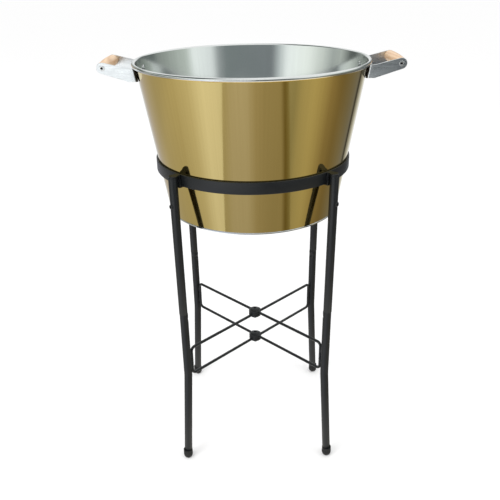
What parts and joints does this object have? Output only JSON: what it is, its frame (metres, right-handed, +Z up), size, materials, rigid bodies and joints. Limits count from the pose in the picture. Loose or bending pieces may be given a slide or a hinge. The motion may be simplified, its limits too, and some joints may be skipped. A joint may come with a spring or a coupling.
{
  "type": "champagne bucket stand",
  "caption": "Round gold-finished steel drink tub with wooden-grip handles, hung in a flat hoop on a folding stand of bent tube legs and crossed wire braces.",
  "frame": {"origin": "on the floor, on the stand's pivot axis, midway between the four feet", "axes": "+Z up along the pivot axis; +X to the right-hand handle; -Y is the front"},
  "size_m": [0.518, 0.4116, 0.7693],
  "materials": {
    "gold_steel": "gold finish outside, bright steel inside",
    "bare_steel": "satin",
    "galvanised_steel": "galvanised",
    "black_paint": "satin powder coat",
    "black_rubber": "matt",
    "beech": "plain"
  },
  "bodies": {
    "frame_a": {"leg_upper_front_left": "black_paint", "leg_upper_back_right": "black_paint", "leg_lower_front_left": "black_paint", "leg_lower_back_right": "black_paint", "leg_sleeve_front_left": "black_paint", "leg_sleeve_back_right": "black_paint", "foot_front_left": "black_rubber", "foot_back_right": "black_rubber", "hoop_seat_front_left": "black_paint", "hoop_seat_back_right": "black_paint", "seat_screw_front_left": "black_paint", "seat_screw_back_right": "black_paint", "brace_wire_front_left": "black_paint", "brace_wire_back_right": "black_paint", "pivot_boss_upper_a": "black_paint", "pivot_boss_lower_a": "black_paint", "pivot_bolt_upper": "black_paint", "pivot_bolt_lower": "black_paint", "pivot_nut_upper": "black_paint", "pivot_nut_lower": "black_paint"},
    "frame_b": {"leg_upper_front_right": "black_paint", "leg_upper_back_left": "black_paint", "leg_lower_front_right": "black_paint", "leg_lower_back_left": "black_paint", "leg_sleeve_front_right": "black_paint", "leg_sleeve_back_left": "black_paint", "foot_front_right": "black_rubber", "foot_back_left": "black_rubber", "hoop_seat_front_right": "black_paint", "hoop_seat_back_left": "black_paint", "seat_screw_front_right": "black_paint", "seat_screw_back_left": "black_paint", "brace_wire_front_right": "black_paint", "brace_wire_back_left": "black_paint", "pivot_boss_upper_b": "black_paint", "pivot_boss_lower_b": "black_paint"},
    "hoop": {"hoop": "black_paint"},
    "tub": {"tub_wall": "gold_steel", "tub_floor": "bare_steel", "handle_bracket_left": "galvanised_steel", "handle_pin_left": "bare_steel", "handle_bracket_right": "galvanised_steel", "handle_pin_right": "bare_steel", "handle_rivet_left_front": "bare_steel", "handle_rivet_left_back": "bare_steel", "handle_rivet_right_front": "bare_steel", "handle_rivet_right_back": "bare_steel"},
    "grip_left": {"grip_left": "beech"},
    "grip_right": {"grip_right": "beech"}
  },
  "joints": [
    {"name": "fold", "type": "hinge", "parent": "frame_a", "child": "frame_b", "pos_m": [0, 0, 0.2259], "axis": [0, 0, 1], "range_deg": [0, 80]},
    {"name": "hoop_lift", "type": "slide", "parent": "frame_a", "child": "hoop", "axis": [0, 0, 1], "range_m": [0, 0.05]},
    {"name": "tub_lift", "type": "slide", "parent": "hoop", "child": "tub", "axis": [0, 0, 1], "range_m": [0, 0.12]},
    {"name": "grip_spin_left", "type": "hinge", "parent": "tub", "child": "grip_left", "pos_m": [-0.2488, 0, 0.7591], "axis": [0, 1, 0], "continuous": true},
    {"name": "grip_spin_right", "type": "hinge", "parent": "tub", "child": "grip_right", "pos_m": [0.2488, 0, 0.7591], "axis": [0, 1, 0], "continuous": true}
  ]
}
